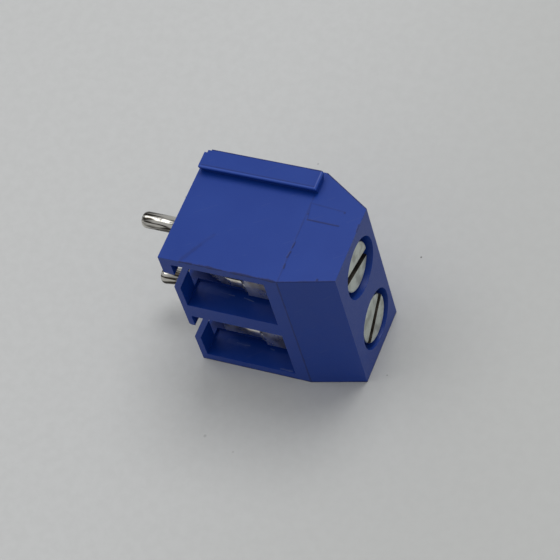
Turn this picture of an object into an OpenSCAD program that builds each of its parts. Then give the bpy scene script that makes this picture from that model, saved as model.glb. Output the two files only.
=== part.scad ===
// Two-pole screw terminal block for printed circuit boards.
// Wires enter from the front (-Y), screws turn from the top (+Z) and the solder pins
// stand below the board plane (z = 0). The row of poles runs along X, and a dovetail
// ridge on the -X end slides into the groove on the +X end of the next block.
// The origin is on the board plane, midway between the two pins, which stand at the
// middle of the housing's depth.

/* [Poles] */
// Distance between the two poles
pitch = 5; // [4.9:0.05:7.6]
// Distance from the front face back to the screws' axes
screw_depth = 3.45; // [3.4:0.05:3.6]

/* [Housing] */
// Height of the housing over the board plane
body_h = 10.1; // [9.9:0.1:12]
// Depth of the housing from front to back
body_d = 7.4; // [7.3:0.1:9]
// Thickness of the wall at each end of the row
end_wall = 0.55; // [0.4:0.05:1.2]
// Height at which the front face starts to lean back
front_kink_h = 7; // [6.6:0.05:7.6]
// How far the front face leans back at the top
front_setback = 0.8; // [0.3:0.05:1]
// Height at which the back face starts to lean forward
back_kink_h = 7.2; // [7.15:0.05:7.6]
// How far the back face leans forward at the top
back_setback = 1.75; // [1:0.05:1.85]
// Diameter of the well that a screw head stands in
well_d = 3.55; // [3.4:0.05:3.8]

/* [Wire entry] */
// Width of a wire entry
entry_w = 3.9; // [3.7:0.05:4.2]
// Height of the roof of a wire entry
entry_top = 6.15; // [5.8:0.05:6.15]
// Depth of a wire entry from the front face to the clamp pocket
entry_depth = 1.2; // [1:0.05:1.4]
// Height of the sill's underside over the board plane
sill_lift = 0.3; // [0.1:0.05:0.4]
// Thickness of the sill below a wire entry
sill_t = 0.38; // [0.25:0.01:0.5]
// Width of the sloping corner of the sill
sill_bevel_w = 2.2; // [1.6:0.1:2.8]
// Rise of the sloping corner of the sill
sill_bevel_h = 1.05; // [0.9:0.05:1.5]
// How far a foot reaches from its wall under the sloping corner
foot_w = 0.95; // [0.6:0.05:1.2]
// Height of the top of a foot over the board plane
foot_h = 0.65; // [0.6:0.05:0.75]
// Radius of the lower corner of a foot
foot_r = 0.15; // [0.05:0.05:0.15]

/* [Interlock] */
// How far the dovetail ridge stands out of the end face
ridge_h = 0.55; // [0.3:0.05:0.6]
// Width of the ridge across its outer face
ridge_w = 1.3; // [1.1:0.05:1.4]
// Distance from the ridge's outer face to the plane of the back face
ridge_inset = 0.28; // [0.2:0.02:0.4]
// Undercut of each flank of the ridge
ridge_undercut = 0.22; // [0.1:0.02:0.3]
// Height of the ridge's lower end over the board plane
ridge_bottom = 0.12; // [0.05:0.01:0.3]
// Height of the ridge's upper end over the board plane
ridge_top = 7.15; // [5:0.05:7.15]
// Width of the notch in the ridge's lower back corner
ridge_notch_w = 0.25; // [0.1:0.05:0.5]
// Height of that notch
ridge_notch_h = 0.36; // [0.1:0.02:0.6]
// Clearance of the groove round a neighbour's ridge
groove_gap = 0.06; // [0.03:0.01:0.1]

/* [Clamp body] */
// Width of the clamp body across the pole
clamp_w = 3.36; // [3.2:0.02:3.46]
// Clearance of the pocket round the clamp body
pocket_gap = 0.05; // [0.02:0.01:0.1]
// Height of the seat that the clamp body is pushed up against
clamp_top = 6.2; // [6.2:0.05:6.4]
// Height of the underside of the threaded leg
leg_under = 4; // [3.8:0.05:4.3]
// Depth of the clamp body behind the face of the wire guard
clamp_d = 4; // [3.95:0.01:4.05]
// Thickness of the web at the back
web_t = 0.55; // [0.4:0.05:0.55]
// Height of the underside of the lower leg
low_leg_under = 0.3; // [0.2:0.05:0.4]
// Thickness of the lower leg
low_leg_t = 0.75; // [0.6:0.05:0.9]
// How far the lower leg ends behind the threaded leg's face
low_leg_setback = 0.75; // [0.5:0.05:0.9]
// Length of the seat for the wire guard's hook on top of the clamp body
hook_seat_l = 0.6; // [0.4:0.05:0.62]

/* [Screw] */
// Outer diameter of the screw thread
thread_d = 2.5; // [2.3:0.05:2.6]
// Radial clearance of the screw in the threaded leg
thread_gap = 0.03; // [0.02:0.01:0.08]
// Axial advance of the screw in one turn
thread_lead = 0.45; // [0.4:0.01:0.45]
// Turns from fully open to fully closed
screw_turns = 5; // [3:1:5]
// Diameter of the screw head
head_d = 2.9; // [2.8:0.05:3.1]
// Height of the screw head
head_h = 1.2; // [0.9:0.05:1.25]
// Depth of the open screw's head below the top face on pole 1
head_sink_1 = 0.22; // [0.05:0.01:0.3]
// Depth of the open screw's head below the top face on pole 2
head_sink_2 = 0.09; // [0.05:0.01:0.3]
// Length of the screw below its head
shank_l = 4.83; // [4.6:0.01:4.85]
// Chamfer at the tip of the screw
tip_chamfer = 0.3; // [0.1:0.05:0.4]
// Rounding of the rim of the head
head_round = 0.12; // [0.05:0.01:0.2]
// Width of the driver slot
slot_w = 0.5; // [0.4:0.05:0.7]
// Depth of the driver slot
slot_depth = 0.55; // [0.3:0.05:0.7]
// Direction of the driver slot on pole 1, in degrees
slot_angle_1 = 75; // [0:1:180]
// Direction of the driver slot on pole 2, in degrees
slot_angle_2 = 120; // [0:1:180]

/* [Wire guard] */
// Thickness of the strip
guard_t = 0.18; // [0.12:0.01:0.2]
// Width of the face plate over the clamp body
guard_face_w = 3.24; // [3:0.02:3.3]
// Width of the hanging tongue
tongue_w = 2.6; // [2.2:0.05:2.9]
// Width of the window that leaves two arms beside it
arm_window_w = 1.2; // [0.8:0.05:1.4]
// Height of that window
arm_window_h = 1.15; // [0.8:0.05:1.3]
// Length of the tongue below the face plate
tongue_l = 2.4; // [2:0.05:2.5]
// Angle of the short slope that steps the tongue back
jog_angle = 35; // [20:1:45]
// Inner radius of the bends of the strip
guard_bend_r = 0.12; // [0.08:0.01:0.2]
// Backward curl of the worn tongue on pole 1, in degrees
curl_angle = 33; // [0:1:34]
// Inner radius of that curl
curl_r = 2.6; // [2.6:0.1:3]

/* [Solder pin] */
// Diameter of a pin
pin_d = 0.95; // [0.8:0.05:1.1]
// Length of a pin below the board plane
pin_l = 3.1; // [2.8:0.1:4.5]
// Diameter of the pin's thick root, which is riveted into the lower leg
root_d = 1.4; // [1.3:0.05:1.6]
// Rounding of a pin's tip
pin_tip_r = 0.3; // [0.1:0.05:0.35]
// Diameter of the riveted head and of the collar
rivet_d = 1.9; // [1.7:0.05:2.2]
// Height of the riveted head
rivet_h = 0.18; // [0.1:0.02:0.22]
// Height of the collar below the lower leg
collar_h = 0.15; // [0.1:0.05:0.15]
// Height of the cone between the collar and the pin
collar_cone_h = 0.12; // [0.05:0.01:0.12]
// Forward lean of the bent pin on pole 2, in degrees
pin_lean = 8; // [0:0.5:9]
// Radius of that bend, to the pin's axis
pin_bend_r = 3; // [2:0.5:6]

/* [Hidden] */
$fn = 48;
// Overshoot of a cut beyond the face that it opens
cut = 0.5;

pole_x = [-pitch / 2, pitch / 2];
body_w = pitch + entry_w + 2 * end_wall;
back_y = body_d / 2;
front_y = -back_y;
screw_y = front_y + screw_depth;
top_front_y = front_y + front_setback;
top_back_y = back_y - back_setback;

pocket_w = clamp_w + 2 * pocket_gap;
pocket_front_y = front_y + entry_depth;
guard_y = pocket_front_y + pocket_gap;
clamp_front_y = guard_y + guard_t;
clamp_back_y = clamp_front_y + clamp_d;
pocket_back_y = clamp_back_y + pocket_gap;
sill_z = sill_lift + sill_t;
ridge_y = back_y - ridge_inset - ridge_w / 2;

screw_travel = thread_lead * screw_turns;
low_leg_top = low_leg_under + low_leg_t;

blue = [0.16, 0.27, 0.62];
tin = [0.74, 0.73, 0.70];
zinc = [0.70, 0.72, 0.70];
spring_steel = [0.80, 0.80, 0.79];

// ---------- housing ----------

// A profile drawn in the Y-Z plane, extruded along X and centred on x = 0
module along_row(length) {
    rotate([90, 0, 90])
        linear_extrude(length, center = true)
            children();
}

// A profile drawn in the X-Z plane, extruded backwards from y = from
module backwards(from, length) {
    translate([0, from + length, 0])
        rotate([90, 0, 0])
            linear_extrude(length)
                children();
}

module side_profile() {
    polygon([
        [front_y, 0],
        [back_y, 0],
        [back_y, back_kink_h],
        [top_back_y, body_h],
        [top_front_y, body_h],
        [front_y, front_kink_h]
    ]);
}

// Clear space of one wire entry, seen from the front: the roof and both walls are
// square, and the floor slopes up into the -X corner
module entry_profile() {
    left = -entry_w / 2;
    polygon([
        [left, entry_top],
        [left, sill_z + sill_bevel_h],
        [left + sill_bevel_w, sill_z],
        [entry_w / 2, sill_z],
        [entry_w / 2, entry_top]
    ]);
}

// Open space below the sill, which leaves a foot standing on the -X wall with its
// underside at the height foot_z
module under_sill_profile(foot_z) {
    left = -entry_w / 2;
    difference() {
        polygon([
            [left, -cut],
            [left, sill_lift + sill_bevel_h],
            [left + sill_bevel_w, sill_lift],
            [entry_w / 2, sill_lift],
            [entry_w / 2, -cut]
        ]);
        translate([left - cut, foot_z - 2 * cut])
            square([cut + foot_w - foot_r, foot_h - foot_z + 2 * cut]);
        translate([left, foot_z + foot_r])
            square([foot_w, foot_h - foot_z - foot_r]);
        translate([left + foot_w - foot_r, foot_z + foot_r])
            circle(foot_r);
    }
}

// Space that lifts the front of the middle wall and of the +X wall level with the sills
module front_relief() {
    translate([pole_x[0] - entry_w / 2 + foot_w, front_y - cut, -cut])
        cube([body_w, entry_depth + cut, sill_lift + cut]);
}

// Dovetail outline in the X-Y plane: root on the line x = 0, growing towards -X
module dovetail(grow) {
    outer = ridge_w / 2 + grow;
    root = outer - ridge_undercut;
    polygon([
        [cut, -root],
        [0, -root],
        [-ridge_h - grow, -outer],
        [-ridge_h - grow, outer],
        [0, root],
        [cut, root]
    ]);
}

module ridge() {
    translate([-body_w / 2, ridge_y, ridge_bottom])
        difference() {
            linear_extrude(ridge_top - ridge_bottom)
                dovetail(0);
            translate([-ridge_h - cut, ridge_w / 2 - ridge_notch_w, -cut])
                cube([ridge_h + cut, ridge_notch_w + cut, ridge_notch_h + cut]);
        }
}

// The groove opens at the board plane
module groove() {
    translate([body_w / 2, ridge_y, -cut])
        linear_extrude(cut + ridge_top + groove_gap)
            dovetail(groove_gap);
}

module pole_cuts(foot_z) {
    backwards(front_y - cut, entry_depth + 2 * cut)
        entry_profile();
    backwards(front_y - cut, entry_depth + cut)
        under_sill_profile(foot_z);
    translate([-pocket_w / 2, pocket_front_y, -cut])
        cube([pocket_w, pocket_back_y - pocket_front_y, clamp_top + cut]);
    translate([0, screw_y, clamp_top - cut])
        cylinder(h = body_h - clamp_top + 2 * cut, d = well_d);
}

module housing() {
    color(blue)
        difference() {
            union() {
                along_row(body_w)
                    side_profile();
                ridge();
            }
            translate([pole_x[0], 0, 0])
                pole_cuts(0);
            translate([pole_x[1], 0, 0])
                pole_cuts(sill_lift);
            front_relief();
            groove();
        }
}

// ---------- clamp body ----------

module clamp_profile() {
    difference() {
        translate([clamp_front_y, low_leg_under])
            square([clamp_d, clamp_top - low_leg_under]);
        // wire space, open at the front
        translate([clamp_front_y - cut, low_leg_top])
            square([clamp_d - web_t + cut, leg_under - low_leg_top]);
        // the lower leg ends short of the threaded leg
        translate([clamp_front_y - cut, low_leg_under - cut])
            square([low_leg_setback + cut, low_leg_t + 2 * cut]);
        // seat for the wire guard's hook, flush with the top
        translate([clamp_front_y - cut, clamp_top - guard_t])
            square([hook_seat_l + cut, guard_t + cut]);
        // front corner eased for the bend of the wire guard
        translate([clamp_front_y, clamp_top - guard_t])
            rotate(45)
                square(2 * guard_bend_r * cos(45), center = true);
    }
}

module clamp_body(pole) {
    translate([pole_x[pole - 1], 0, 0])
        color(tin)
            difference() {
                along_row(clamp_w)
                    clamp_profile();
                translate([0, screw_y, leg_under - cut])
                    cylinder(h = clamp_top - leg_under + 2 * cut, d = thread_d + 2 * thread_gap);
                translate([0, 0, low_leg_under - cut])
                    cylinder(h = low_leg_t + 2 * cut, d = root_d);
            }
}

// ---------- screw ----------

// Half section of the screw: chamfered tip, shank and rounded head rim
module screw_section(head_top) {
    tip_z = head_top - head_h - shank_l;
    union() {
        polygon([
            [0, tip_z],
            [thread_d / 2 - tip_chamfer, tip_z],
            [thread_d / 2, tip_z + tip_chamfer],
            [thread_d / 2, head_top - head_h],
            [head_d / 2, head_top - head_h],
            [head_d / 2, head_top - head_round],
            [head_d / 2 - head_round, head_top],
            [0, head_top]
        ]);
        intersection() {
            translate([head_d / 2 - head_round, head_top - head_round])
                circle(head_round);
            translate([0, head_top - head_round])
                square([head_d / 2, head_round]);
        }
    }
}

module terminal_screw(pole, head_sink, slot_angle) {
    head_top = body_h - head_sink;
    translate([pole_x[pole - 1], screw_y, 0])
        color(zinc)
            difference() {
                rotate_extrude()
                    screw_section(head_top);
                rotate(slot_angle)
                    translate([-head_d, -slot_w / 2, head_top - slot_depth])
                        cube([2 * head_d, slot_w, slot_depth + cut]);
            }
}

// ---------- wire guard ----------

// A sheet strip seen on edge. Each step is [straight length, turn, inner radius].
// The strip runs along +X of its own frame, with its thickness on the left, and a
// positive turn bends it to the left.
module bent_strip(steps, t, i = 0) {
    run = steps[i][0];
    turn = steps[i][1];
    r = steps[i][2];
    centre = turn >= 0 ? t + r : -r;
    square([run, t]);
    translate([run, centre]) {
        bend_sector(r, t, turn);
        if (i + 1 < len(steps))
            rotate(turn)
                translate([0, -centre])
                    bent_strip(steps, t, i + 1);
    }
}

// Ring sector of one bend, centred on the bend's centre
module bend_sector(r, t, turn) {
    start = turn >= 0 ? -90 : 90 + turn;
    reach = 3 * (r + t);
    if (turn != 0)
        intersection() {
            difference() {
                circle(r + t);
                circle(r);
            }
            polygon([
                [0, 0],
                reach * [cos(start), sin(start)],
                reach * [cos(start + abs(turn) / 2), sin(start + abs(turn) / 2)],
                reach * [cos(start + abs(turn)), sin(start + abs(turn))]
            ]);
        }
}

// Hook over the clamp body, face plate, short slope back, then the hanging tongue,
// whose lower part may be curled backwards
module guard_strip(curl) {
    hook_l = hook_seat_l - guard_bend_r;
    face_l = clamp_top - leg_under - guard_t - guard_bend_r;
    slope_l = guard_t;
    curl_l = (curl_r + guard_t) * curl * PI / 180;
    hang_l = tongue_l - slope_l - curl_l;
    translate([clamp_front_y + hook_seat_l, clamp_top])
        rotate(180)
            bent_strip([
                [hook_l, 90, guard_bend_r],
                [face_l, jog_angle, guard_bend_r],
                [slope_l, -jog_angle, guard_bend_r],
                [hang_l, curl, curl_r]
            ], guard_t);
}

module wire_guard(pole, curl) {
    side_cut_w = guard_face_w - tongue_w;
    translate([pole_x[pole - 1], 0, 0])
        color(spring_steel)
            difference() {
                along_row(guard_face_w)
                    guard_strip(curl);
                for (side = [-1, 1])
                    translate([side * (tongue_w + side_cut_w) / 2, clamp_front_y, leg_under / 2])
                        cube([side_cut_w, 2 * clamp_d, leg_under], center = true);
                translate([-arm_window_w / 2, guard_y - cut, leg_under - guard_bend_r - arm_window_h])
                    cube([arm_window_w, clamp_d, arm_window_h]);
            }
}

// ---------- solder pin ----------

// Half section of the straight part below the bend, pointing down from the origin
module pin_section(length) {
    union() {
        polygon([
            [0, 0],
            [pin_d / 2, 0],
            [pin_d / 2, pin_tip_r - length],
            [pin_d / 2 - pin_tip_r, -length],
            [0, -length]
        ]);
        intersection() {
            translate([pin_d / 2 - pin_tip_r, pin_tip_r - length])
                circle(pin_tip_r);
            translate([0, -length])
                square([pin_d / 2, pin_tip_r]);
        }
    }
}

// A short bend forwards starts at the board plane, and the rest of the pin is straight
module solder_pin(pole, lean) {
    bend_l = pin_bend_r * lean * PI / 180;
    translate([pole_x[pole - 1], 0, 0])
        color(tin) {
            translate([0, 0, low_leg_top])
                cylinder(h = rivet_h, d = rivet_d);
            cylinder(h = low_leg_top, d = root_d);
            translate([0, 0, low_leg_under - collar_h])
                cylinder(h = collar_h, d = rivet_d);
            cylinder(h = low_leg_under - collar_h, d = pin_d);
            translate([0, 0, low_leg_under - collar_h - collar_cone_h])
                cylinder(h = collar_cone_h, d1 = pin_d, d2 = pin_d + 2 * collar_cone_h);
            translate([0, -pin_bend_r, 0]) {
                if (lean > 0)
                    rotate([0, 90, 0])
                        rotate(90 - lean)
                            rotate_extrude(angle = lean)
                                translate([pin_bend_r, 0])
                                    circle(d = pin_d);
                rotate([-lean, 0, 0])
                    translate([0, pin_bend_r, 0])
                        rotate_extrude()
                            pin_section(pin_l - bend_l);
            }
        }
}

housing();
clamp_body(1);  // clamp_body_1
clamp_body(2);  // clamp_body_2
terminal_screw(1, head_sink_1, slot_angle_1);  // terminal_screw_1
terminal_screw(2, head_sink_2, slot_angle_2);  // terminal_screw_2
wire_guard(1, curl_angle);  // wire_guard_1
wire_guard(2, 0);  // wire_guard_2
solder_pin(1, 0);  // solder_pin_1
solder_pin(2, pin_lean);  // solder_pin_2
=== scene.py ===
"""Looks of the screw terminal block: moulded blue housing, plated screws, clamps and
pins, bright wire guards, and a pale table that the block lies on."""

from math import cos, radians, sin

import bmesh
import bpy
from mathutils import Euler, Matrix, Vector


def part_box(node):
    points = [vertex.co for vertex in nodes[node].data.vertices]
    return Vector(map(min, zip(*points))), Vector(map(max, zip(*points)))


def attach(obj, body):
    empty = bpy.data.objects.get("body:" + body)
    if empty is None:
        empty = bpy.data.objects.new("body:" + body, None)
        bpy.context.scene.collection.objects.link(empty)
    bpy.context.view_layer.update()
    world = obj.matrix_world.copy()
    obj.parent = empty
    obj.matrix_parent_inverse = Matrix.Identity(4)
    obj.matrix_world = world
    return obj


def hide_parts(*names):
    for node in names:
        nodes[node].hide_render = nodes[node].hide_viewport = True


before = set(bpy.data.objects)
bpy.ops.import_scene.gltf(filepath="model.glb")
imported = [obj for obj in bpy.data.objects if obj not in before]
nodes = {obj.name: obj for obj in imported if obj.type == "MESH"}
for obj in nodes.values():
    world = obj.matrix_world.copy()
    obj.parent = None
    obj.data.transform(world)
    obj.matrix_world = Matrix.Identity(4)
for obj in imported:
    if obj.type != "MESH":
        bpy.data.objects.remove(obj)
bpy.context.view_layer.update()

MM = 0.001


# ---------- named places, in millimetres, from the solids ----------

HOUSING_LOW, HOUSING_HIGH = (Vector(c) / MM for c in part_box("housing"))
PITCH = 5.0
POLE_X = (-PITCH / 2, PITCH / 2)
END_X = HOUSING_HIGH.x
FRONT_Y = HOUSING_LOW.y
BACK_Y = HOUSING_HIGH.y
TOP_Z = HOUSING_HIGH.z
FRONT_KINK_Z = 7.0
BACK_KINK_Z = 7.2
TOP_FRONT_Y = FRONT_Y + 0.8
TOP_BACK_Y = BACK_Y - 1.75
# the front of the +X wall is lifted off the board, level with the sills
SILL_LIFT = 0.3
ENTRY_DEPTH = 1.2
# the guard's two arms beside its window
ARM_W = 0.7
ARM_MIDDLE = 0.95
ARMS_LOW_Z = 2.73
ARMS_HIGH_Z = 3.95
# the dovetail ridge on the -X end
RIDGE_X = HOUSING_LOW.x
RIDGE_BACK_Y = BACK_Y - 0.28
RIDGE_FRONT_Y = RIDGE_BACK_Y - 1.3
RIDGE_TOP_Z = 7.15
RIDGE_EDGE_R = 0.13
# the screws' shanks and threads
SHANK_R = 1.25
THREAD_TOP_R = 1.245
THREAD_ROOT_R = 1.0
THREAD_LEAD = 0.45
THREAD_PROFILE_R = 0.20
THREAD_ABOVE_TIP = 0.3
THREAD_BELOW_HEAD = 0.05
HEAD_H = 1.2
SLOT_W = 0.5
SLOT_DEPTH = 0.55
SLOT_ANGLES = (75, 120)
SCREW_LOW, SCREW_HIGH = (Vector(c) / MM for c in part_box("terminal_screw_1"))
SCREW_Y = (SCREW_LOW.y + SCREW_HIGH.y) / 2


def at(x, y, z):
    """A point in metres from millimetres."""
    return Vector((x, y, z)) * MM


# ---------- shader node helpers ----------


class Tree:
    """Adds nodes to a node tree, one line each, and places them in columns."""

    def __init__(self, tree):
        self.tree = tree
        self.count = 0

    def add(self, kind, label="", **settings):
        node = self.tree.nodes.new(kind)
        node.location = (200 * (self.count // 4), -220 * (self.count % 4))
        self.count += 1
        if label:
            node.label = label
        for name, value in settings.items():
            setattr(node, name, value)
        return node

    def link(self, source, target):
        self.tree.links.new(source, target)

    def put(self, socket, value):
        """Links a socket to another socket, or sets its value."""
        if isinstance(value, bpy.types.NodeSocket):
            self.link(value, socket)
        else:
            socket.default_value = value

    def math(self, operation, a, b=0.0, c=0.0, clamp=False):
        node = self.add("ShaderNodeMath", operation=operation, use_clamp=clamp)
        for socket, value in zip(node.inputs, (a, b, c)):
            self.put(socket, value)
        return node.outputs[0]

    def mix(self, factor, a, b, blend="MIX"):
        node = self.add("ShaderNodeMix", data_type="RGBA", blend_type=blend)
        self.put(node.inputs["Factor"], factor)
        # a Mix node's colour sockets come after those for numbers and vectors
        self.put(node.inputs[6], a)
        self.put(node.inputs[7], b)
        return node.outputs[2]

    def ramp(self, value, low, high, out_low=0.0, out_high=1.0):
        node = self.add("ShaderNodeMapRange", interpolation_type="SMOOTHSTEP")
        self.put(node.inputs["Value"], value)
        node.inputs["From Min"].default_value = low
        node.inputs["From Max"].default_value = high
        node.inputs["To Min"].default_value = out_low
        node.inputs["To Max"].default_value = out_high
        return node.outputs[0]

    def vector(self, operation, a, b=(0.0, 0.0, 0.0), scale=1.0):
        node = self.add("ShaderNodeVectorMath", operation=operation)
        self.put(node.inputs[0], a)
        if operation == "SCALE":
            self.put(node.inputs["Scale"], scale)
        else:
            self.put(node.inputs[1], b)
        number = operation in {"DOT_PRODUCT", "LENGTH", "DISTANCE"}
        return node.outputs["Value" if number else "Vector"]

    def noise(self, vector, scale, detail=3.0, rough=0.5, distortion=0.0):
        node = self.add("ShaderNodeTexNoise")
        self.put(node.inputs["Vector"], vector)
        self.put(node.inputs["Scale"], scale)
        node.inputs["Detail"].default_value = detail
        node.inputs["Roughness"].default_value = rough
        node.inputs["Distortion"].default_value = distortion
        return node.outputs["Fac"]


def new_group(name, inputs, outputs):
    """A shader node group with named float, colour or vector sockets."""
    group = bpy.data.node_groups.new(name, "ShaderNodeTree")
    kinds = {"f": "NodeSocketFloat", "c": "NodeSocketColor", "v": "NodeSocketVector"}
    for socket, kind, value in inputs:
        item = group.interface.new_socket(socket, in_out="INPUT", socket_type=kinds[kind])
        if value is not None:
            item.default_value = value
    for socket, kind in outputs:
        group.interface.new_socket(socket, in_out="OUTPUT", socket_type=kinds[kind])
    tree = Tree(group)
    return tree, tree.add("NodeGroupInput"), tree.add("NodeGroupOutput")


def use_group(tree, group, **values):
    """Places a group, with its inputs set or linked by name."""
    node = tree.add("ShaderNodeGroup")
    node.node_tree = group
    for name, value in values.items():
        tree.put(node.inputs[name.replace("_", " ")], value)
    return node


def grain_group():
    """Fine uneven skin of a moulded or plated surface: a height and a mottle."""
    tree, given, out = new_group(
        "surface_grain",
        [("Place", "v", None), ("Fine Scale", "f", 9.0), ("Broad Scale", "f", 1.2)],
        [("Height", "f"), ("Mottle", "f")],
    )
    fine = tree.noise(given.outputs["Place"], given.outputs["Fine Scale"], 4.0, 0.6)
    broad = tree.noise(given.outputs["Place"], given.outputs["Broad Scale"], 2.0, 0.5)
    height = tree.math("MULTIPLY_ADD", fine, 0.6, tree.math("MULTIPLY", broad, 0.4))
    tree.link(height, out.inputs["Height"])
    tree.link(broad, out.inputs["Mottle"])
    return tree.tree


def scuff_group():
    """Thin stray scratches: warped bands that only show where a slow noise is high."""
    tree, given, out = new_group(
        "stray_scratches",
        [("Place", "v", None), ("Scale", "f", 2.0), ("Turn", "v", None), ("Amount", "f", 0.5)],
        [("Mask", "f")],
    )
    turn = tree.add("ShaderNodeMapping")
    tree.link(given.outputs["Place"], turn.inputs["Vector"])
    tree.link(given.outputs["Turn"], turn.inputs["Rotation"])
    wave = tree.add("ShaderNodeTexWave", wave_type="BANDS", bands_direction="X")
    tree.link(turn.outputs[0], wave.inputs["Vector"])
    tree.link(given.outputs["Scale"], wave.inputs["Scale"])
    wave.inputs["Distortion"].default_value = 3.0
    wave.inputs["Detail"].default_value = 1.0
    wave.inputs["Detail Scale"].default_value = 0.4
    line = tree.ramp(wave.outputs["Fac"], 0.985, 1.0)
    patch = tree.noise(turn.outputs[0], 1.1, 1.0, 0.5)
    shown = tree.ramp(patch, 0.56, 0.62)
    mask = tree.math("MULTIPLY", tree.math("MULTIPLY", line, shown), given.outputs["Amount"])
    tree.link(mask, out.inputs["Mask"])
    return tree.tree


def stroke_group():
    """A thin straight mark between two places, with a ragged outline."""
    tree, given, out = new_group(
        "stroke",
        [
            ("Place", "v", None),
            ("Start", "v", None),
            ("End", "v", None),
            ("Width", "f", 0.05),
            ("Ragged", "f", 0.02),
        ],
        [("Mask", "f")],
    )
    from_start = tree.vector("SUBTRACT", given.outputs["Place"], given.outputs["Start"])
    run = tree.vector("SUBTRACT", given.outputs["End"], given.outputs["Start"])
    along = tree.math(
        "DIVIDE",
        tree.vector("DOT_PRODUCT", from_start, run),
        tree.vector("DOT_PRODUCT", run, run),
        clamp=True,
    )
    nearest = tree.vector("SCALE", run, scale=along)
    gap = tree.vector("DISTANCE", from_start, nearest)
    wobble = tree.math("SUBTRACT", tree.noise(given.outputs["Place"], 2.6, 2.0, 0.6), 0.5)
    ragged_gap = tree.math("MULTIPLY_ADD", wobble, given.outputs["Ragged"], gap)
    edge = tree.math("DIVIDE", ragged_gap, given.outputs["Width"])
    tree.link(tree.ramp(edge, 0.35, 1.0, 1.0, 0.0), out.inputs["Mask"])
    return tree.tree


GRAIN = grain_group()
SCUFFS = scuff_group()
STROKE = stroke_group()

# Marks on the plastic, with painted shade and painted highlights among them: start, end, width,
# raggedness, strength
MARKS_AND_EDGE_SHADE = (
    ((-END_X, 0.52, 7.19), (-END_X, 0.50, 9.01), 0.070, 0.06, 0.75),
    ((-END_X, 1.60, 6.99), (-END_X, 0.52, 7.19), 0.065, 0.07, 0.34),
    ((-END_X, 1.60, 6.99), (-END_X, 1.45, 8.97), 0.065, 0.08, 0.28),
    ((-END_X, 0.91, 7.09), (-END_X, 0.86, 7.10), 0.09, 0.05, 0.60),
    ((-END_X, 1.42, 9.03), (-END_X, 1.38, 9.04), 0.09, 0.05, 0.60),
    ((-END_X, -1.01, 7.08), (-END_X, -1.42, 7.05), 0.065, 0.10, 0.85),
    ((-END_X, -1.67, 7.06), (-END_X, -2.04, 7.00), 0.065, 0.10, 0.85),
    ((-END_X, -2.48, 7.05), (-END_X, -2.75, 7.07), 0.065, 0.10, 0.85),
    ((-END_X, 2.10, 7.00), (-END_X, -3.60, 7.05), 0.060, 0.12, 0.30),
    ((-END_X, -3.54, 1.35), (-END_X, -2.40, 2.03), 0.17, 0.16, 0.30),
    ((-END_X, -2.40, 2.03), (-END_X, -1.62, 2.50), 0.14, 0.16, 0.17),
    ((-END_X, -3.10, 9.12), (-END_X, -3.02, 9.12), 0.10, 0.05, 0.85),
    ((-END_X, 0.82, 10.06), (-END_X, 0.38, 10.10), 0.08, 0.08, 0.70),
    # from here on, dark lines along the outer edges, the front kink and the ridge: painted shade
    # at those edges and creases
    ((-END_X, FRONT_Y, 1.30), (-END_X, FRONT_Y, 6.90), 0.10, 0.26, 0.90),
    ((-END_X, FRONT_Y, 7.00), (-END_X, TOP_FRONT_Y, 10.10), 0.075, 0.10, 0.70),
    ((-END_X, BACK_Y, BACK_KINK_Z), (-END_X, TOP_BACK_Y, 10.10), 0.09, 0.12, 0.85),
    ((END_X, FRONT_Y, 0.40), (END_X, FRONT_Y, 6.90), 0.10, 0.22, 0.85),
    ((END_X, FRONT_Y, 7.00), (END_X, TOP_FRONT_Y, 10.10), 0.09, 0.14, 0.80),
    ((END_X, TOP_FRONT_Y, 10.10), (END_X, TOP_BACK_Y, 10.10), 0.07, 0.10, 0.65),
    ((RIDGE_X, RIDGE_BACK_Y, 0.4), (RIDGE_X, RIDGE_BACK_Y, 7.1), 0.09, 0.14, 0.80),
    ((-END_X, FRONT_Y, FRONT_KINK_Z), (END_X, FRONT_Y, FRONT_KINK_Z), 0.07, 0.09, 0.62),
    ((RIDGE_X, RIDGE_FRONT_Y + 0.2, 0.3), (RIDGE_X, RIDGE_FRONT_Y + 0.19, 7.0), 0.05, 0.06, 0.5),
)
# painted highlights: pale streaks and a soft lit haze on the far side walls of the wire entries,
# near the step into the pockets
PAINTED_WALL_HIGHLIGHTS = (
    ((-0.55, -2.42, 2.15), (-0.55, -2.46, 2.62), 0.05, 0.10, 0.45),
    ((-0.55, -2.47, 2.70), (-0.55, -2.49, 3.05), 0.045, 0.08, 0.70),
    ((-0.55, -2.48, 3.65), (-0.55, -2.58, 4.25), 0.05, 0.08, 0.80),
    ((-0.55, -2.45, 1.40), (-0.55, -2.48, 2.60), 0.30, 0.35, 0.16),
    ((4.45, -2.56, 2.10), (4.45, -2.62, 2.60), 0.06, 0.12, 0.50),
    ((4.45, -2.62, 2.45), (4.45, -2.58, 2.85), 0.05, 0.10, 0.60),
    ((4.45, -2.55, 1.60), (4.45, -2.60, 2.70), 0.26, 0.35, 0.14),
    ((4.45, -2.48, 4.14), (4.45, -2.51, 4.36), 0.05, 0.08, 0.65),
    ((4.45, -3.58, 5.21), (4.45, -3.60, 5.89), 0.09, 0.14, 0.45),
)
# Dust on the table: y, z, size, strength
SPECKS = (
    (5.82, 10.21, 0.075, 0.75),
    (10.77, 1.88, 0.090, 0.30),
    (-2.21, 11.02, 0.070, 0.45),
    (6.67, -5.14, 0.100, 0.30),
    (5.02, -4.95, 0.090, 0.25),
    (-8.50, 2.36, 0.120, 0.25),
    (-9.06, 4.31, 0.090, 0.22),
)
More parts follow.
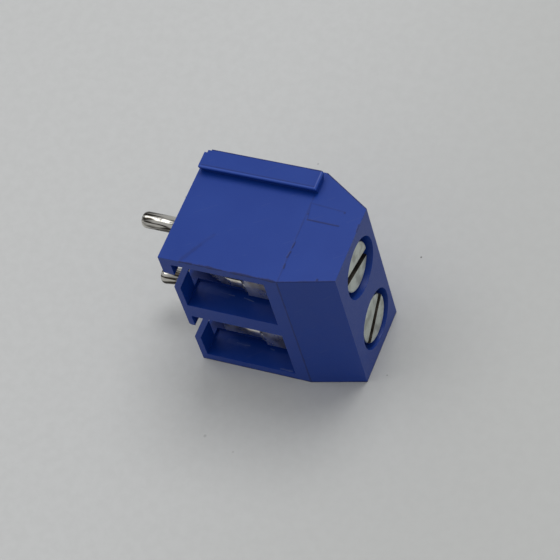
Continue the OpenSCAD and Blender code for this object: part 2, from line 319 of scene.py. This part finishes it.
# painted highlight: a lighter band along the ridge's outer front edge and the outer edge of its
# upper end
RIDGE_SHINE_X = RIDGE_X + 0.02
RIDGE_SHINE_Y = RIDGE_FRONT_Y + 0.03
PAINTED_RIDGE_HIGHLIGHTS = (
    ((RIDGE_SHINE_X, RIDGE_SHINE_Y, 0.15), (RIDGE_SHINE_X, RIDGE_SHINE_Y, 7.12), 0.16, 0.05, 0.75),
    ((RIDGE_SHINE_X, RIDGE_FRONT_Y, 7.12), (RIDGE_SHINE_X, RIDGE_BACK_Y, 7.12), 0.13, 0.05, 0.5),
)


def all_marks(tree, place, marks):
    """The strongest of a list of marks at each place."""
    total = 0.0
    for start, end, width, ragged, strength in marks:
        stroke = use_group(
            tree, STROKE, Place=place, Start=start, End=end, Width=width, Ragged=ragged
        )
        mask = tree.math("MULTIPLY", stroke.outputs["Mask"], strength)
        total = tree.math("MAXIMUM", total, mask)
    return total


def new_material(name, **principled):
    """A node material with a Principled BSDF; returns material, tree, shader, place.
    place is Object coordinates in millimetres."""
    material = bpy.data.materials.new(name)
    material.use_nodes = True
    material.node_tree.nodes.clear()
    tree = Tree(material.node_tree)
    shader = tree.add("ShaderNodeBsdfPrincipled")
    out = tree.add("ShaderNodeOutputMaterial")
    tree.link(shader.outputs[0], out.inputs["Surface"])
    for socket, value in principled.items():
        shader.inputs[socket.replace("_", " ")].default_value = value
    coordinates = tree.add("ShaderNodeTexCoord")
    scale = tree.add("ShaderNodeMapping")
    scale.inputs["Scale"].default_value = (1 / MM, 1 / MM, 1 / MM)
    tree.link(coordinates.outputs["Object"], scale.inputs["Vector"])
    return material, tree, shader, scale.outputs[0]


def bump(tree, shader, height, strength, distance_mm):
    """Raises a height as a bump on the shader's normal."""
    node = tree.add("ShaderNodeBump")
    node.inputs["Strength"].default_value = strength
    node.inputs["Distance"].default_value = distance_mm * MM
    tree.link(height, node.inputs["Height"])
    tree.link(node.outputs[0], shader.inputs["Normal"])


# ---------- materials ----------


def painted_pocket_shade(tree, place):
    """Painted shade in the wire pockets: how far a place lies inside them, where the plastic is
    painted darker to stand in for the shade there.
    """
    split = tree.add("ShaderNodeSeparateXYZ")
    tree.link(place, split.inputs[0])
    from_centre = tree.math("ABSOLUTE", split.outputs["X"])
    y, z = split.outputs["Y"], split.outputs["Z"]
    pocket_front_y = FRONT_Y + ENTRY_DEPTH
    depth = tree.ramp(y, pocket_front_y + 0.1, pocket_front_y + 0.7)
    # it ends within the walls around the pockets, so the outside keeps its colour
    for limit in (
        tree.ramp(from_centre, END_X - 0.5, END_X - 0.4, 1.0, 0.0),
        tree.ramp(y, BACK_Y - 0.3, BACK_Y - 0.2, 1.0, 0.0),
        tree.ramp(z, 6.0, 7.0, 1.0, 0.0),
        tree.ramp(z, 0.05, 0.35),
    ):
        depth = tree.math("MULTIPLY", depth, limit)
    return tree.math("MULTIPLY", depth, 0.9)


def moulded_nylon():
    """Blue moulded plastic: a soft sheen, faint cloudy flow, stray scratches, marks, and painted
    shade and highlights.
    """
    material, tree, shader, place = new_material(
        "moulded_blue_nylon", IOR=1.5, Specular_IOR_Level=0.3
    )
    grain = use_group(tree, GRAIN, Place=place, Fine_Scale=14.0, Broad_Scale=0.55)
    scuffs = use_group(
        tree, SCUFFS, Place=place, Scale=0.35, Turn=Euler((0.5, 0.3, 1.1)), Amount=0.35
    )
    edge_shade_and_marks = all_marks(tree, place, MARKS_AND_EDGE_SHADE)
    wall_highlights = all_marks(tree, place, PAINTED_WALL_HIGHLIGHTS)
    deep = (0.0012, 0.0295, 0.232, 1)
    pale = (0.0028, 0.0375, 0.262, 1)
    cloudy = tree.mix(grain.outputs["Mottle"], deep, pale)
    worn = tree.mix(scuffs.outputs["Mask"], cloudy, (0.020, 0.050, 0.240, 1))
    # painted highlight along the ridge's outer edges
    worn = tree.mix(all_marks(tree, place, PAINTED_RIDGE_HIGHLIGHTS), worn, (0.032, 0.085, 0.40, 1))
    # painted highlights on the inner walls of the wire entries
    worn = tree.mix(wall_highlights, worn, (0.10, 0.14, 0.32, 1))
    # dark marks, and painted shade along the edges and creases
    worn = tree.mix(edge_shade_and_marks, worn, (0.001, 0.008, 0.085, 1))
    # painted shade: the plastic deep inside the wire pockets is darkened
    worn = tree.mix(painted_pocket_shade(tree, place), worn, (0.0008, 0.012, 0.105, 1))
    tree.link(worn, shader.inputs["Base Color"])
    rough = tree.ramp(grain.outputs["Height"], 0.3, 0.7, 0.36, 0.46)
    tree.link(rough, shader.inputs["Roughness"])
    dent = tree.math("SUBTRACT", grain.outputs["Height"], edge_shade_and_marks)
    bump(tree, shader, dent, 0.3, 0.02)
    return material


def plated(name, light, dark, rough_low, rough_high, grain_scale, bump_mm=0.006):
    """Plated metal with cloudy tarnish, small dark specks and fine grain."""
    material, tree, shader, place = new_material(name, Metallic=1.0)
    grain = use_group(tree, GRAIN, Place=place, Fine_Scale=grain_scale, Broad_Scale=1.3)
    stain = tree.noise(place, 1.5, 2.0, 0.5)
    shade = tree.ramp(stain, 0.40, 0.70)
    colour = tree.mix(shade, light, dark)
    speck = tree.ramp(tree.noise(place, 6.0, 2.0, 0.5), 0.72, 0.78)
    colour = tree.mix(speck, colour, (0.14, 0.13, 0.11, 1))
    tree.link(colour, shader.inputs["Base Color"])
    rough = tree.ramp(grain.outputs["Height"], 0.3, 0.7, rough_low, rough_high)
    tree.link(rough, shader.inputs["Roughness"])
    bump(tree, shader, grain.outputs["Height"], 0.5, bump_mm)
    return material


def sprung_strip():
    """Bright spring strip. The two arms beside the window are crowned from stamping."""
    material, tree, shader, place = new_material("bright_spring_strip", Metallic=1.0)
    grain = use_group(tree, GRAIN, Place=place, Fine_Scale=7.0, Broad_Scale=1.3)
    stain = tree.ramp(tree.noise(place, 1.1, 1.0, 0.5), 0.40, 0.70)
    colour = tree.mix(stain, (0.94, 0.90, 0.82, 1), (0.50, 0.44, 0.35, 1))
    tree.link(colour, shader.inputs["Base Color"])
    rough = tree.ramp(grain.outputs["Mottle"], 0.3, 0.7, 0.26, 0.34)
    tree.link(rough, shader.inputs["Roughness"])
    split = tree.add("ShaderNodeSeparateXYZ")
    tree.link(place, split.inputs[0])
    # distance from each pole's own middle, then from the middle of an arm, in arm halves
    from_centre = tree.math("ABSOLUTE", split.outputs["X"])
    from_middle = tree.math("ABSOLUTE", tree.math("SUBTRACT", from_centre, PITCH / 2))
    across = tree.math("DIVIDE", tree.math("SUBTRACT", from_middle, ARM_MIDDLE), ARM_W / 2)
    crown = tree.math("SUBTRACT", 1.0, tree.math("POWER", across, 2.0), clamp=True)
    shown = tree.math(
        "MULTIPLY",
        tree.ramp(split.outputs["Z"], ARMS_LOW_Z - 0.1, ARMS_LOW_Z + 0.3),
        tree.ramp(split.outputs["Z"], ARMS_HIGH_Z - 0.05, ARMS_HIGH_Z + 0.05, 1.0, 0.0),
    )
    bump(tree, shader, tree.math("MULTIPLY", crown, shown), 1.0, 0.07)
    return material


def tinned_pin():
    """Bright tinned pin with dark streaks drawn along its length."""
    material, tree, shader, place = new_material("bright_tinned_pin", Metallic=1.0)
    grain = use_group(tree, GRAIN, Place=place, Fine_Scale=6.0, Broad_Scale=1.6)
    drawn = tree.vector("MULTIPLY", place, (1.0, 1.0, 0.12))
    streak = tree.noise(drawn, 3.8, 2.0, 0.5, 0.25)
    dark = tree.ramp(streak, 0.44, 0.55)
    colour = tree.mix(dark, (0.62, 0.60, 0.55, 1), (0.035, 0.030, 0.024, 1))
    tree.link(colour, shader.inputs["Base Color"])
    rough = tree.ramp(grain.outputs["Height"], 0.3, 0.7, 0.10, 0.22)
    tree.link(rough, shader.inputs["Roughness"])
    bump(tree, shader, tree.math("ADD", grain.outputs["Mottle"], streak), 0.8, 0.04)
    return material


NYLON = moulded_nylon()
ZINC = plated(
    "zinc_plated_screw",
    light=(0.61, 0.65, 0.60, 1),
    dark=(0.40, 0.42, 0.38, 1),
    rough_low=0.34,
    rough_high=0.5,
    grain_scale=12.0,
)
# painted shade: a dark, dull metal for the walls and floor of the screw slots
SLOT_SHADE_METAL = plated(
    "slot_painted_shade",
    light=(0.17, 0.15, 0.125, 1),
    dark=(0.055, 0.045, 0.035, 1),
    rough_low=0.45,
    rough_high=0.7,
    grain_scale=12.0,
)
TIN = plated(
    "tin_plated_clamp",
    light=(0.62, 0.60, 0.56, 1),
    dark=(0.36, 0.34, 0.31, 1),
    rough_low=0.42,
    rough_high=0.6,
    grain_scale=16.0,
)
SPRING = sprung_strip()
SOLDER = tinned_pin()


# ---------- pieces ----------


def merged_copy(node, name):
    """A copy of a solid's mesh with its triangles joined up and flat faces dissolved."""
    mesh = nodes[node].data.copy()
    mesh.name = name
    mesh.materials.clear()
    work = bmesh.new()
    work.from_mesh(mesh)
    bmesh.ops.remove_doubles(work, verts=work.verts, dist=0.0002 * MM)
    bmesh.ops.dissolve_limit(
        work, angle_limit=0.02, verts=work.verts, edges=work.edges, delimit={"NORMAL"}
    )
    work.to_mesh(mesh)
    work.free()
    piece = bpy.data.objects.new(name, mesh)
    bpy.context.scene.collection.objects.link(piece)
    return piece


def make_plain(piece):
    """Applies a piece's modifiers and leaves a plain mesh."""
    bpy.context.view_layer.update()
    evaluated = piece.evaluated_get(bpy.context.evaluated_depsgraph_get())
    mesh = bpy.data.meshes.new_from_object(evaluated)
    piece.modifiers.clear()
    old = piece.data
    piece.data = mesh
    bpy.data.meshes.remove(old)
    mesh.name = piece.name


def soften(piece, width_mm, segments=2, angle=0.5):
    """Rounds the sharp edges of a piece."""
    bevel = piece.modifiers.new("edges", "BEVEL")
    bevel.width = width_mm * MM
    bevel.segments = segments
    bevel.limit_method = "ANGLE"
    bevel.angle_limit = angle
    bevel.harden_normals = True
    bevel.use_clamp_overlap = True
    make_plain(piece)


def finish_piece(piece, body, slot, material, *stands_for):
    """Paints a piece, and puts it in place of its solids on their body."""
    piece.data.materials.clear()
    piece.data.materials.append(material)
    for polygon in piece.data.polygons:
        polygon.material_index = 0
    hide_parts(*stands_for)
    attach(piece, body)


def ease_ridge(piece):
    """Rounds the ridge's outer front edge and the outer edge of its upper end."""
    work = bmesh.new()
    work.from_mesh(piece.data)

    def near(a, b):
        return abs(a / MM - b) < 0.01

    chosen = []
    for edge in work.edges:
        ends = [v.co for v in edge.verts]
        if not all(near(c.x, RIDGE_X) for c in ends):
            continue
        front = all(near(c.y, RIDGE_FRONT_Y) for c in ends)
        upper = all(near(c.z, RIDGE_TOP_Z) for c in ends)
        if front or upper:
            chosen.append(edge)
    bmesh.ops.bevel(
        work, geom=chosen, offset=RIDGE_EDGE_R * MM, segments=3, profile=0.5, affect="EDGES"
    )
    work.to_mesh(piece.data)
    work.free()


def housing_shell():
    shell = merged_copy("housing", "moulded_housing")
    ease_ridge(shell)
    soften(shell, 0.05)
    finish_piece(shell, "block", "housing_plastic", NYLON, "housing")


def metal_piece(name, body, slot, material, edge_mm, segments=2):
    """A housed metal part with its sharp edges slightly rounded."""
    piece = merged_copy(name, name + "_metal")
    soften(piece, edge_mm, segments)
    finish_piece(piece, body, slot, material, name)


# ---------- screw threads ----------


def thread_modifier_group():
    """Adds a screw thread of repeating turns to the screw that is passed in."""
    group = bpy.data.node_groups.new("screw_thread", "GeometryNodeTree")
    face = group.interface
    sockets = {}
    for name, kind, value in (
        ("Geometry", "NodeSocketGeometry", None),
        ("Turns", "NodeSocketFloat", 9.0),
        ("Lead", "NodeSocketFloat", 0.00045),
        ("Crest Radius", "NodeSocketFloat", 0.0012),
        ("Profile Radius", "NodeSocketFloat", 0.0002),
        ("Place", "NodeSocketVector", None),
        ("Material", "NodeSocketMaterial", None),
    ):
        item = face.new_socket(name, in_out="INPUT", socket_type=kind)
        if value is not None:
            item.default_value = value
        sockets[name] = item.identifier
    face.new_socket("Geometry", in_out="OUTPUT", socket_type="NodeSocketGeometry")
    tree = Tree(group)
    given = tree.add("NodeGroupInput")
    out = tree.add("NodeGroupOutput")
    crest, depth = given.outputs["Crest Radius"], given.outputs["Profile Radius"]
    middle_r = tree.math("SUBTRACT", crest, depth)
    spiral = tree.add("GeometryNodeCurveSpiral")
    spiral.inputs["Resolution"].default_value = 40
    # the node's own spiral is left-handed
    spiral.inputs["Reverse"].default_value = True
    tree.put(spiral.inputs["Rotations"], given.outputs["Turns"])
    tree.put(spiral.inputs["Start Radius"], middle_r)
    tree.put(spiral.inputs["End Radius"], middle_r)
    tree.put(
        spiral.inputs["Height"],
        tree.math("MULTIPLY", given.outputs["Turns"], given.outputs["Lead"]),
    )
    upright = tree.add("GeometryNodeSetCurveNormal", mode="Z_UP")
    tree.link(spiral.outputs[0], upright.inputs[0])
    # the thread fades out over its first and last turn
    along = tree.add("GeometryNodeSplineParameter")
    from_end = tree.math(
        "MINIMUM", along.outputs["Factor"], tree.math("SUBTRACT", 1.0, along.outputs["Factor"])
    )
    rise = tree.math("MULTIPLY", from_end, given.outputs["Turns"], clamp=True)
    taper = tree.add("GeometryNodeSetCurveRadius")
    tree.link(upright.outputs[0], taper.inputs["Curve"])
    tree.put(taper.inputs["Radius"], tree.math("MAXIMUM", rise, 0.05))
    profile = tree.add("GeometryNodeCurvePrimitiveCircle")
    profile.inputs["Resolution"].default_value = 4
    tree.put(profile.inputs["Radius"], depth)
    sweep = tree.add("GeometryNodeCurveToMesh")
    tree.link(taper.outputs[0], sweep.inputs["Curve"])
    tree.link(profile.outputs[0], sweep.inputs["Profile Curve"])
    if "Scale" in sweep.inputs:
        radius = tree.add("GeometryNodeInputRadius")
        tree.link(radius.outputs[0], sweep.inputs["Scale"])
    flat = tree.add("GeometryNodeSetShadeSmooth")
    flat.inputs["Shade Smooth"].default_value = False
    tree.link(sweep.outputs[0], flat.inputs[0])
    move = tree.add("GeometryNodeTransform")
    tree.link(flat.outputs[0], move.inputs["Geometry"])
    tree.link(given.outputs["Place"], move.inputs["Translation"])
    join = tree.add("GeometryNodeJoinGeometry")
    tree.link(given.outputs["Geometry"], join.inputs[0])
    tree.link(move.outputs[0], join.inputs[0])
    realize = tree.add("GeometryNodeRealizeInstances")
    tree.link(join.outputs[0], realize.inputs[0])
    paint = tree.add("GeometryNodeSetMaterial")
    tree.link(realize.outputs[0], paint.inputs["Geometry"])
    tree.link(given.outputs["Material"], paint.inputs["Material"])
    tree.link(paint.outputs[0], out.inputs[0])
    return group, sockets


THREAD, THREAD_SOCKETS = thread_modifier_group()


def slim_shank(piece, axis_x, under_head_z):
    """Turns the shank down to the root of the thread."""
    slim = THREAD_ROOT_R / SHANK_R
    for vertex in piece.data.vertices:
        x = vertex.co.x - axis_x * MM
        y = vertex.co.y - SCREW_Y * MM
        below_head = vertex.co.z < (under_head_z + 0.01) * MM
        if below_head and Vector((x, y)).length < (SHANK_R + 0.05) * MM:
            vertex.co.x = axis_x * MM + x * slim
            vertex.co.y = SCREW_Y * MM + y * slim


def paint_slot_shade(piece, axis_x, head_top_z, angle_degrees):
    """Gives the slot's walls and floor a darker, dull metal: painted shade in the slot."""
    piece.data.materials.append(SLOT_SHADE_METAL)
    turn = radians(angle_degrees)
    for polygon in piece.data.polygons:
        x, y, z = polygon.center / MM
        across = -sin(turn) * (x - axis_x) + cos(turn) * (y - SCREW_Y)
        deep = head_top_z - SLOT_DEPTH - 0.05 < z < head_top_z - 0.01
        if deep and abs(across) < SLOT_W / 2 + 0.006:
            polygon.material_index = 1


def threaded_screw(number, axis_x, slot_angle):
    name = "terminal_screw_" + number
    low, high = (Vector(c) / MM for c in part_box(name))
    under_head_z = high.z - HEAD_H
    piece = merged_copy(name, name + "_threaded")
    slim_shank(piece, axis_x, under_head_z)
    soften(piece, 0.025)
    threaded_length = under_head_z - low.z - THREAD_ABOVE_TIP - THREAD_BELOW_HEAD
    turns = round(threaded_length / THREAD_LEAD)
    modifier = piece.modifiers.new("thread", "NODES")
    modifier.node_group = THREAD
    for socket, value in (
        ("Turns", float(turns)),
        ("Lead", THREAD_LEAD * MM),
        ("Crest Radius", THREAD_TOP_R * MM),
        ("Profile Radius", THREAD_PROFILE_R * MM),
        ("Place", at(axis_x, SCREW_Y, low.z + THREAD_ABOVE_TIP)),
        ("Material", ZINC),
    ):
        modifier[THREAD_SOCKETS[socket]] = value
    make_plain(piece)
    finish_piece(piece, "screw_" + number, "zinc_steel", ZINC, name)
    paint_slot_shade(piece, axis_x, high.z, slot_angle)


housing_shell()
for number, axis_x, slot_angle in zip(("1", "2"), POLE_X, SLOT_ANGLES):
    metal_piece("clamp_body_" + number, "block", "tinned_metal", TIN, 0.06)
    metal_piece("wire_guard_" + number, "block", "spring_metal", SPRING, 0.05, 3)
    metal_piece("solder_pin_" + number, "block", "tinned_metal", SOLDER, 0.03)
    threaded_screw(number, axis_x, slot_angle)


# ---------- stage ----------

# Camera: its place in millimetres, and the image's right and up directions
CAMERA_AT = at(-112.536, -66.866, 55.241)
IMAGE_RIGHT = Vector((0.197463, 0.357540, 0.912783))
IMAGE_UP = Vector((-0.560896, 0.804854, -0.193925))
SENSOR = 36.0
FOCAL = 162.643

TABLE_GAP = 0.02
TABLE_R = 600.0


def set_camera():
    data = bpy.data.cameras.new("camera")
    data.sensor_width = SENSOR
    data.lens = FOCAL
    data.clip_start = 0.01
    data.clip_end = 5.0
    camera = bpy.data.objects.new("camera", data)
    bpy.context.scene.collection.objects.link(camera)
    back = IMAGE_RIGHT.cross(IMAGE_UP).normalized()
    turn = Matrix((IMAGE_RIGHT, IMAGE_UP, back)).transposed()
    camera.matrix_world = Matrix.Translation(CAMERA_AT) @ turn.to_4x4()
    bpy.context.scene.camera = camera


def table_material():
    """Matt pale table with fine grain and a few specks. It is clear from its back, so that
    it doesn't stand in the way of other views."""
    material, tree, shader, place = new_material(
        "pale_table", Roughness=0.55, Specular_IOR_Level=0.3
    )
    grain = tree.ramp(tree.noise(place, 1.6, 4.0, 0.6), 0.3, 0.7, 0.0, 0.14)
    split = tree.add("ShaderNodeSeparateXYZ")
    tree.link(place, split.inputs[0])
    # painted shade: the table is painted darker towards +Z, for the light falling off across it
    painted_falloff = tree.ramp(split.outputs["Z"], -6.0, 20.0)
    base = tree.mix(painted_falloff, (0.547, 0.552, 0.545, 1), (0.485, 0.49, 0.477, 1))
    base = tree.mix(grain, base, (0.40, 0.40, 0.39, 1))
    marks = [
        ((END_X, y, z), (END_X, y + 0.02, z), size, 0.04, strength)
        for y, z, size, strength in SPECKS
    ]
    base = tree.mix(all_marks(tree, place, marks), base, (0.06, 0.055, 0.05, 1))
    tree.link(base, shader.inputs["Base Color"])
    clear = tree.add("ShaderNodeBsdfTransparent")
    side = tree.add("ShaderNodeNewGeometry")
    chosen = tree.add("ShaderNodeMixShader")
    out = next(n for n in tree.tree.nodes if n.type == "OUTPUT_MATERIAL")
    tree.link(side.outputs["Backfacing"], chosen.inputs[0])
    tree.link(shader.outputs[0], chosen.inputs[1])
    tree.link(clear.outputs[0], chosen.inputs[2])
    tree.link(chosen.outputs[0], out.inputs["Surface"])
    return material


def set_table():
    """The block lies on its +X end, so the table stands at that end, facing -X. It is
    open under the block, so that end is lit when it is seen from behind."""
    x = END_X + TABLE_GAP
    inset = 0.045
    lifted, high = SILL_LIFT + inset, TOP_Z - inset
    front, back = FRONT_Y + inset, BACK_Y - inset
    lift_back = FRONT_Y + ENTRY_DEPTH + inset
    under_block = [
        (front, lifted),
        (front, FRONT_KINK_Z),
        (TOP_FRONT_Y + inset, high),
        (TOP_BACK_Y - inset, high),
        (back, BACK_KINK_Z),
        (back, inset),
        (lift_back, inset),
        (lift_back, lifted),
    ]
    count = len(under_block)
    middle = Vector((0, 5))
    rim = [middle + (Vector(p) - middle).normalized() * TABLE_R for p in under_block]
    corners = [at(x, *p) for p in under_block] + [at(x, *p) for p in rim]
    faces = [(i, (i + 1) % count, count + (i + 1) % count, count + i) for i in range(count)]
    mesh = bpy.data.meshes.new("table")
    mesh.from_pydata(corners, [], faces)
    mesh.materials.append(table_material())
    table = bpy.data.objects.new("table", mesh)
    bpy.context.scene.collection.objects.link(table)
    mesh.update()
    if mesh.polygons[0].normal.x > 0:
        mesh.flip_normals()


def soft_lamp(name, place, aim, size_mm, watts):
    """A round area lamp, aimed at a point; places in millimetres."""
    data = bpy.data.lights.new(name, "AREA")
    data.shape = "DISK"
    data.size = size_mm * MM
    data.energy = watts
    lamp = bpy.data.objects.new(name, data)
    bpy.context.scene.collection.objects.link(lamp)
    lamp.location = at(*place)
    direction = at(*aim) - at(*place)
    lamp.rotation_euler = direction.to_track_quat("-Z", "Y").to_euler()


def set_light():
    """Two broad lamps in front of the table, and a plain pale world."""
    soft_lamp("upper_lamp", (-400, 190, 40), (0, 0, 5), 260, 0.76)
    soft_lamp("side_lamp", (-400, 0, -170), (0, 0, 5), 260, 0.32)
    world = bpy.data.worlds.new("plain_world")
    world.use_nodes = True
    background = world.node_tree.nodes["Background"]
    background.inputs["Color"].default_value = (0.97, 0.98, 1.0, 1)
    background.inputs["Strength"].default_value = 0.50
    bpy.context.scene.world = world
    bpy.context.scene.view_settings.view_transform = "Standard"


set_camera()
set_table()
set_light()
